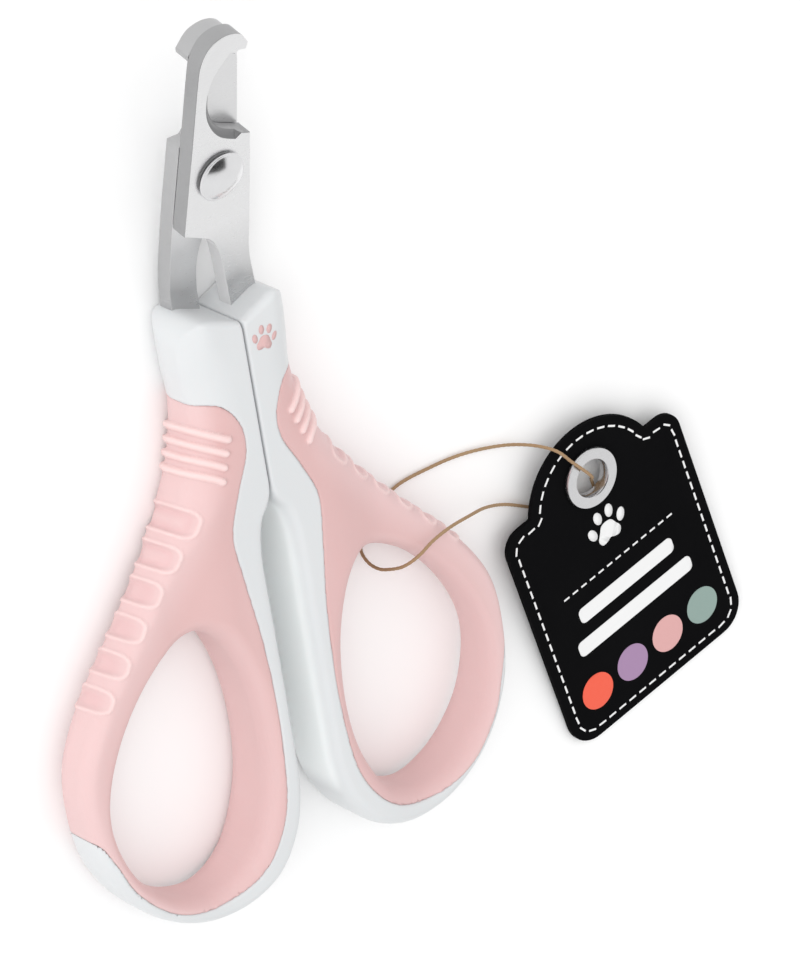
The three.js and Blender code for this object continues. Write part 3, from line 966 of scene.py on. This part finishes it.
rivetShape = {
    "headRadius": 3.8,
    "seat": 0.4,            # underside of the head over the front blade's face
    "lip": 0.32,
    "dome": 0.85,
    "shankRadius": 2.1,
    "tail": 1.05,           # how far the shank comes out behind the back blade
    "clearance": 0.2,       # of the washer and the collar round the shank
    "washerRadius": 3.45,
    "washerThick": 0.24,
    "washerLift": 0.08,
    "collarGap": 0.15,
    "collarThick": 0.75,
}


def rivetProfile():
    r = rivetShape
    seat = bladeShape["faceHeight"] + r["seat"]
    foot = -bladeShape["faceHeight"] - r["tail"]
    edge = r["headRadius"] - 0.28
    radius = (edge ** 2 + r["dome"] ** 2) / (2 * r["dome"])
    spread = math.degrees(math.asin(edge / radius))
    top = seat + r["lip"]
    profile = [(0, foot), (1.7, foot), *arcPoints((r["shankRadius"] - 0.3, foot + 0.3), 0.3, -90, 0, 4)]
    profile += [(r["shankRadius"], seat), (r["headRadius"] - 0.12, seat)]
    profile += arcPoints((r["headRadius"] - 0.12, seat + 0.12), 0.12, -90, 0, 4)[1:]
    profile += arcPoints((r["headRadius"] - 0.14, top - 0.14), 0.14, 0, 90, 4)
    profile += arcPoints((0, top + r["dome"] - radius), radius, 90 - spread, 90, 16)[:-1]
    profile.append((0, top + r["dome"]))
    return profile


def washerProfile():
    r = rivetShape
    low = bladeShape["faceHeight"] + r["washerLift"]
    high = low + r["washerThick"]
    bore, rim, soft = r["shankRadius"] + r["clearance"], r["washerRadius"], 0.06
    return [
        (bore, low), (rim, low), (rim + soft, low + soft), (rim + soft, high - soft), (rim, high),
        (bore, high), (bore, low),
    ]


def collarProfile():
    r = rivetShape
    top = -bladeShape["faceHeight"] - r["collarGap"]
    low = top - r["collarThick"]
    bore = r["shankRadius"] + r["clearance"]
    bend = arcPoints((3.05, low + 0.35), 0.35, -90, 0, 5)
    return [(bore, low), (3.0, low), *bend, (3.4, top), (bore, top), (bore, low)]


def makeRivet():
    rivet = latheMesh("rivet", rivetProfile(), mirrorSteel, onHead)
    washer = latheMesh("washer", washerProfile(), groundSteel, onHead)
    collar = latheMesh("collar", collarProfile(), bladeSteel, onHead)
    finishPiece(rivet, rightHalf, ["pivot_rivet"])
    finishPiece(washer, rightHalf, ["pivot_washer"])
    finishPiece(collar, rightHalf, ["rivet_collar"])


makeRivet()
print("rivet made")


# swing tag
tagShape = {
    "halfWidth": 17.5,
    "foot": 21.8,           # foot and crown from the middle of the square body
    "crown": 27.8,
    "eyelet": 19.1,
    "footRound": 4.5,
    "shoulderRound": 3.4,
    "crownHalfWidth": 11.7,
    "thick": 0.8,
    "lift": 2.9,            # height of the eyelet end over the table
    "turn": math.radians(13.5),
    "centre": (64.6, -82.3),
    "hole": 3.7,
}
inks = {
    "white": (0.86, 0.86, 0.86),
    "red": (0.89, 0.115, 0.06),
    "purple": (0.38, 0.235, 0.40),
    "pink": (0.73, 0.40, 0.39),
    "green": (0.275, 0.375, 0.34),
}


def onTag(x, y, z):
    t = tagShape
    slope = math.asin(t["lift"] / (t["foot"] + t["crown"] - 6))
    up = y + t["foot"]
    flat = up * math.cos(slope) - z * math.sin(slope) - t["foot"]
    high = up * math.sin(slope) + z * math.cos(slope) + 0.1
    c, s = math.cos(t["turn"]), math.sin(t["turn"])
    return Vector((x * c - flat * s + t["centre"][0], x * s + flat * c + t["centre"][1] + shiftY, high)) * mm


def tagOutline(inset=0.0):
    t = tagShape
    half, foot, crown = t["halfWidth"] - inset, t["foot"] - inset, t["crown"]
    fr, sr = max(t["footRound"] - inset, 0.4), max(t["shoulderRound"] - inset, 0.4)
    shoulder = t["eyelet"] + 0.5
    rise = crown - shoulder
    radius = (t["crownHalfWidth"] ** 2 + rise ** 2) / (2 * rise)
    level = shoulder - inset
    centreY = crown - radius
    meets = math.degrees(math.acos(min((level - centreY) / (radius - inset), 1)))
    points = arcPoints((half - fr, -foot + fr), fr, -90, 0, 10)
    points += arcPoints((half - sr, level - sr), sr, 0, 90, 8)
    points += arcPoints((0, centreY), radius - inset, 90 - meets, 90 + meets, 32)
    points += arcPoints((-half + sr, level - sr), sr, 90, 180, 8)
    points += arcPoints((-half + fr, -foot + fr), fr, 180, 270, 10)
    return points


def plateMesh(name, rings, low, high, material, place, bevel=0.0):
    # A plate from an outer ring and, after it, any holes.
    bm = bmesh.new()
    edges = []
    for ring in rings:
        verts = [bm.verts.new((x, y, low)) for x, y in ring]
        edges += [bm.edges.new((a, b)) for a, b in zip(verts, verts[1:] + verts[:1])]
    bmesh.ops.triangle_fill(bm, use_beauty=True, use_dissolve=False, edges=edges)
    made = bmesh.ops.extrude_face_region(bm, geom=bm.faces[:])
    top = [v for v in made["geom"] if isinstance(v, bmesh.types.BMVert)]
    bmesh.ops.translate(bm, verts=top, vec=(0, 0, high - low))
    bmesh.ops.recalc_face_normals(bm, faces=bm.faces)
    if bevel:
        rims = [e for e in bm.edges if e.calc_face_angle(0) > 1.2 and isRim(e)]
        bmesh.ops.bevel(bm, geom=rims, offset=bevel, segments=2, profile=0.5,
                        affect="EDGES", clamp_overlap=True)
    for vert in bm.verts:
        vert.co = place(*vert.co)
    for face in bm.faces:
        face.smooth = True
    mesh = bpy.data.meshes.new(name)
    bm.to_mesh(mesh)
    bm.free()
    obj = bpy.data.objects.new(name, mesh)
    bpy.context.scene.collection.objects.link(obj)
    mesh.materials.append(material)
    obj.modifiers.new("even faces", "WEIGHTED_NORMAL").weight = 100
    return settle(obj)


def circle(centre, radius, count=48):
    return arcPoints(centre, radius, 0, 360, count)[:-1]


def turned(point, centre, size, turn):
    # A point scaled and turned about the middle of a shape that is then moved to its centre.
    x, y = point
    c, s = math.cos(turn), math.sin(turn)
    return centre[0] + size * (x * c - y * s), centre[1] + size * (x * s + y * c)


def ellipse(centre, across, along, turn, count=28):
    out = []
    for k in range(count):
        a = 2 * math.pi * k / count
        out.append(turned((across * math.cos(a), along * math.sin(a)), centre, 1, turn))
    return out


def pawRings(centre, size, turn=0.0):
    # A paw print: a pad with four toes.
    pad = [
        (0, 0.30), (0.30, 0.22), (0.48, -0.08), (0.66, -0.42), (0.52, -0.72), (0.22, -0.70), (0, -0.60),
        (-0.22, -0.70), (-0.52, -0.72), (-0.66, -0.42), (-0.48, -0.08), (-0.30, 0.22),
    ]
    rings = [[tuple(p) for p in splinePoints(pad, 4, closed=True)]]
    for x, y, lean in ((-0.86, 0.12, 0.35), (-0.34, 0.72, 0.12), (0.34, 0.72, -0.12), (0.86, 0.12, -0.35)):
        rings.append(ellipse((x, y), 0.22, 0.34, lean))
    return [[turned(point, centre, size, turn) for point in ring] for ring in rings]


def printMesh(name, shapes, ink, place, low, high):
    # Several small flat shapes as one piece.
    parts = [plateMesh(f"{name}_{k}", [ring], low, high, ink, place) for k, ring in enumerate(shapes)]
    bm = bmesh.new()
    for part in parts:
        bm.from_mesh(part.data)
        bpy.data.objects.remove(part)
    mesh = bpy.data.meshes.new(name)
    bm.to_mesh(mesh)
    bm.free()
    mesh.materials.append(ink)
    obj = bpy.data.objects.new(name, mesh)
    bpy.context.scene.collection.objects.link(obj)
    return obj


def dashTree(material):
    # Dashes along a line: inputs are the line, the spacing, and the dash's length, width and height.
    tree = bpy.data.node_groups.new("dashes along a line", "GeometryNodeTree")
    face = tree.interface
    face.new_socket("Geometry", in_out="INPUT", socket_type="NodeSocketGeometry")
    for label in ("Spacing", "Dash Length", "Dash Width", "Dash Height"):
        face.new_socket(label, in_out="INPUT", socket_type="NodeSocketFloat")
    face.new_socket("Geometry", in_out="OUTPUT", socket_type="NodeSocketGeometry")
    nodes, links = tree.nodes, tree.links
    entry, leave = nodes.new("NodeGroupInput"), nodes.new("NodeGroupOutput")
    toCurve = nodes.new("GeometryNodeMeshToCurve")
    resample = nodes.new("GeometryNodeResampleCurve")
    resample.mode = "LENGTH"
    toPoints = nodes.new("GeometryNodeCurveToPoints")
    toPoints.mode = "EVALUATED"
    cube = nodes.new("GeometryNodeMeshCube")
    size = nodes.new("ShaderNodeCombineXYZ")
    align = nodes.new("FunctionNodeAlignRotationToVector")
    align.axis = "X"
    onPoints = nodes.new("GeometryNodeInstanceOnPoints")
    realize = nodes.new("GeometryNodeRealizeInstances")
    paint = nodes.new("GeometryNodeSetMaterial")
    paint.inputs["Material"].default_value = material
    links.new(entry.outputs["Geometry"], toCurve.inputs["Mesh"])
    links.new(toCurve.outputs["Curve"], resample.inputs["Curve"])
    links.new(entry.outputs["Spacing"], resample.inputs["Length"])
    links.new(resample.outputs["Curve"], toPoints.inputs["Curve"])
    links.new(toPoints.outputs["Points"], onPoints.inputs["Points"])
    links.new(toPoints.outputs["Tangent"], align.inputs["Vector"])
    links.new(align.outputs["Rotation"], onPoints.inputs["Rotation"])
    links.new(entry.outputs["Dash Length"], size.inputs["X"])
    links.new(entry.outputs["Dash Width"], size.inputs["Y"])
    links.new(entry.outputs["Dash Height"], size.inputs["Z"])
    links.new(size.outputs["Vector"], cube.inputs["Size"])
    links.new(cube.outputs["Mesh"], onPoints.inputs["Instance"])
    links.new(onPoints.outputs["Instances"], realize.inputs["Geometry"])
    links.new(realize.outputs["Geometry"], paint.inputs["Geometry"])
    links.new(paint.outputs["Geometry"], leave.inputs["Geometry"])
    return tree


def dashedLine(name, points, closed, dash, ink, place):
    # Points are in millimetres in the plane that place lays down.
    mesh = bpy.data.meshes.new(name)
    count = len(points)
    pairs = [(k, (k + 1) % count) for k in range(count if closed else count - 1)]
    mesh.from_pydata([(x, y, dash["level"]) for x, y in points], pairs, [])
    obj = bpy.data.objects.new(name, mesh)
    bpy.context.scene.collection.objects.link(obj)
    tree = dashTree(ink)
    modifier = obj.modifiers.new("dashes", "NODES")
    modifier.node_group = tree
    values = {
        "Spacing": dash["spacing"],
        "Dash Length": dash["length"],
        "Dash Width": dash["width"],
        "Dash Height": dash["height"],
    }
    for item in tree.interface.items_tree:
        if item.in_out == "INPUT" and item.name in values:
            modifier[item.identifier] = values[item.name]
    settle(obj)
    for vert in obj.data.vertices:
        vert.co = place(*vert.co)
    return obj


def inkMaterial(name, colour):
    worn = tuple(c * 0.94 for c in colour)
    return plasticMaterial(f"{name} ink", worn, colour, roughness=0.6, grain=1500.0, bumpStrength=0.1)


inkMaterials = {name: inkMaterial(name, colour) for name, colour in inks.items()}
prints = {
    "stitch": {"inset": 1.6, "spacing": 2.1, "length": 1.35, "width": 0.3, "height": 0.06, "level": 0.83},
    "divider": {
        "y": 3.4, "halfWidth": 10.6, "spacing": 1.75,
        "length": 1.05, "width": 0.28, "height": 0.06, "level": 0.83,
    },
    "bars": [((-9.6, 9.6), -1.2, 2.7), ((-11.6, 11.6), -6.3, 2.7)],     # ends, middle height, thickness
    "dots": {
        "y": -14.6, "x": (-10.9, -3.65, 3.65, 10.9), "radius": 2.95,
        "inks": ("red", "purple", "pink", "green"),
    },
    "paw": {"centre": (0, 9.4), "size": 3.3},
    "low": 0.79,
    "high": 0.86,
}


def barRing(ends, middle, thick):
    low, high = ends
    r = thick * 0.32
    y0, y1 = middle - thick / 2, middle + thick / 2
    ring = arcPoints((high - r, y0 + r), r, -90, 0, 5) + arcPoints((high - r, y1 - r), r, 0, 90, 5)
    ring += arcPoints((low + r, y1 - r), r, 90, 180, 5) + arcPoints((low + r, y0 + r), r, 180, 270, 5)
    return ring


def tagPrints():
    p, white = prints, inkMaterials["white"]
    heights = (p["low"], p["high"])
    d, dots, paw = p["divider"], p["dots"], p["paw"]
    line = [(-d["halfWidth"], d["y"]), (d["halfWidth"], d["y"])]
    made = [
        dashedLine("tag_stitches", tagOutline(p["stitch"]["inset"]), True, p["stitch"], white, onTag),
        dashedLine("tag_divider", line, False, d, white, onTag),
        printMesh("tag_bars", [barRing(*bar) for bar in p["bars"]], white, onTag, *heights),
        printMesh("tag_paw", pawRings(paw["centre"], paw["size"]), white, onTag, *heights),
    ]
    for x, ink in zip(dots["x"], dots["inks"]):
        ring = circle((x, dots["y"]), dots["radius"])
        made.append(plateMesh(f"tag_dot_{ink}", [ring], *heights, inkMaterials[ink], onTag))
    return made


def makeTag():
    t = tagShape
    hole = circle((0, t["eyelet"]), t["hole"])[::-1]
    board = plateMesh("tag_board", [tagOutline(), hole], 0, t["thick"], cardBlack, onTag, 0.12)
    pieces = [finishPiece(board, rightHalf, ["tag_card"])]
    return pieces + [finishPiece(piece, rightHalf) for piece in tagPrints()]


def atEyelet(x, y, z):
    return onTag(x, y + tagShape["eyelet"], z)


def makeEyelet():
    top = tagShape["thick"] + 0.05
    flange = [(2.8, -0.1), (3.25, -0.1), (3.25, top), (4.65, top), (4.8, top + 0.1)]
    flange += arcPoints((3.85, top + 0.1), 0.95, 0, 150, 14)[1:]
    flange += [(2.85, top + 0.2), (2.8, top - 0.2), (2.8, -0.1)]
    flange = [(r, min(z, top + 0.62)) for r, z in flange]
    back = [(3.6, -0.8), (4.5, -0.8), *arcPoints((4.5, -0.7), 0.1, -90, 0, 3)[1:]]
    back += [(4.6, -0.3), (3.6, -0.3), (3.6, -0.8)]
    front = latheMesh("eyelet", flange, eyeletSteel, atEyelet)
    rear = latheMesh("eyelet_back", back, bladeSteel, atEyelet)
    return [
        finishPiece(front, rightHalf, ["tag_eyelet"]),
        finishPiece(rear, rightHalf, ["tag_eyelet_back"]),
    ]


tagPieces = makeTag() + makeEyelet()
print("tag made")


# string
stringShape = {"radius": 0.25, "plies": 2, "pitch": 1.6, "lobe": 0.16, "step": 0.22}
stringKnots = [
    (62.2, -69.2, 1.25), (62.3, -67.2, 1.3), (61.5, -65.3, 2.1), (60.2, -63.8, 4.2),
    (58.6, -62, 5.6), (56.1, -59.1, 5.5), (54.5, -57, 4.7), (52.5, -55.7, 3.2), (49.4, -54.6, 1.5),
    (45.5, -53.6, 0.8), (40.3, -52.7, 0.5), (34.9, -52.4, 0.45), (28.2, -52.8, 0.45),
    (24.4, -54.8, 0.45), (21.5, -57.3, 0.45), (20.5, -59.6, 0.7), (20.3, -61, 2.4), (20.5, -61.4, 4.6),
    (20.9, -61, 6.6), (21.5, -60.2, 8.8), (22.3, -59.2, 10.3), (23.6, -58.3, 11), (25.9, -57.3, 11),
    (29.1, -56.8, 10.6), (34.9, -57.9, 8.2), (41.2, -60.6, 3.8), (45.8, -62.8, 1.7), (50.3, -65.4, 0.75),
    (54.6, -67.8, 0.75), (58.7, -69.1, 1.1),
]


def evenPoints(points, step):
    # The same line with points a step apart.
    gaps = np.linalg.norm(np.diff(points, axis=0), axis=1)
    along = np.concatenate([[0], np.cumsum(gaps)])
    count = max(int(along[-1] / step), 2)
    wanted = np.linspace(0, along[-1], count + 1)
    return np.stack([np.interp(wanted, along, points[:, k]) for k in range(3)], 1), along[-1]


def twineMesh(name, line, shape, material, sides=14):
    # A tube of twisted plies along a line in millimetres of the frame.
    count = len(line)
    tangents = np.gradient(line, axis=0)
    tangents /= np.linalg.norm(tangents, axis=1)[:, None]
    side = np.cross(tangents[0], (0, 0, 1.0))
    side /= np.linalg.norm(side)
    verts, faces = [], []
    gap = np.linalg.norm(line[1] - line[0])
    for k in range(count):
        side = side - tangents[k] * (side @ tangents[k])
        side /= np.linalg.norm(side)
        other = np.cross(tangents[k], side)
        twist = 2 * math.pi * k * gap / shape["pitch"]
        for j in range(sides):
            a = 2 * math.pi * j / sides
            lobe = abs(math.cos(shape["plies"] * (a - twist) / 2))
            r = shape["radius"] * (1.03 - shape["lobe"] * (1 - lobe))
            verts.append((line[k] + r * (math.cos(a) * side + math.sin(a) * other)) * mm)
    for k in range(count - 1):
        for j in range(sides):
            n = (j + 1) % sides
            faces.append((k * sides + j, k * sides + n, (k + 1) * sides + n, (k + 1) * sides + j))
    faces.append(tuple(range(sides))[::-1])
    faces.append(tuple(range((count - 1) * sides, count * sides)))
    return meshObject(name, verts, faces, material)


def makeString():
    centre = splinePoints([(x, y + shiftY, z) for x, y, z in stringKnots], 14)
    line, length = evenPoints(centre, stringShape["step"])
    tube = twineMesh("twine", line, stringShape, kraftTwine)
    return finishPiece(tube, rightHalf, ["tag_string"]), line, length


knotShape = {
    "centre": (60.5, -69.3, 1.2),
    "size": (0.33, 0.29, 0.3),
    "gap": 0.35,            # angle left open at each end
    "radius": 0.3,
    "lowest": 0.4,          # of the tube's middle over the floor
    "step": 0.12,
}


def makeKnot():
    # A small overhand knot whose two ends stick out.
    k = knotShape
    t = np.linspace(k["gap"], 2 * math.pi - k["gap"], 90)
    turns = [np.sin(t) + 2 * np.sin(2 * t), np.cos(t) - 2 * np.cos(2 * t), -np.sin(3 * t)]
    line = np.stack(turns, 1) * k["size"] + k["centre"]
    line[:, 1] += shiftY
    line, _ = evenPoints(line, k["step"])
    line[:, 2] = np.maximum(line[:, 2], k["lowest"])
    tube = twineMesh("knot", line, dict(stringShape, radius=k["radius"]), kraftTwine)
    return finishPiece(tube, rightHalf, ["string_knot"])


twine, twineLine, twineLength = makeString()
knot = makeKnot()
print("string made,", round(twineLength, 1), "mm")


# paw mark on the right handle
markShape = {"centre": (3.05, -15.2), "size": 2.0, "turn": math.radians(-14), "sunk": 0.05, "proud": 0.03}


def onFace(x, y, z):
    return Vector((x, y + shiftY, midZ + faceHeight(x, y) + z)) * mm


markRings = pawRings(markShape["centre"], markShape["size"], markShape["turn"])
paw = printMesh("paw_mark", markRings, pinkSkin, onFace, -markShape["sunk"], markShape["proud"])
finishPiece(paw, rightHalf)
print("mark made")
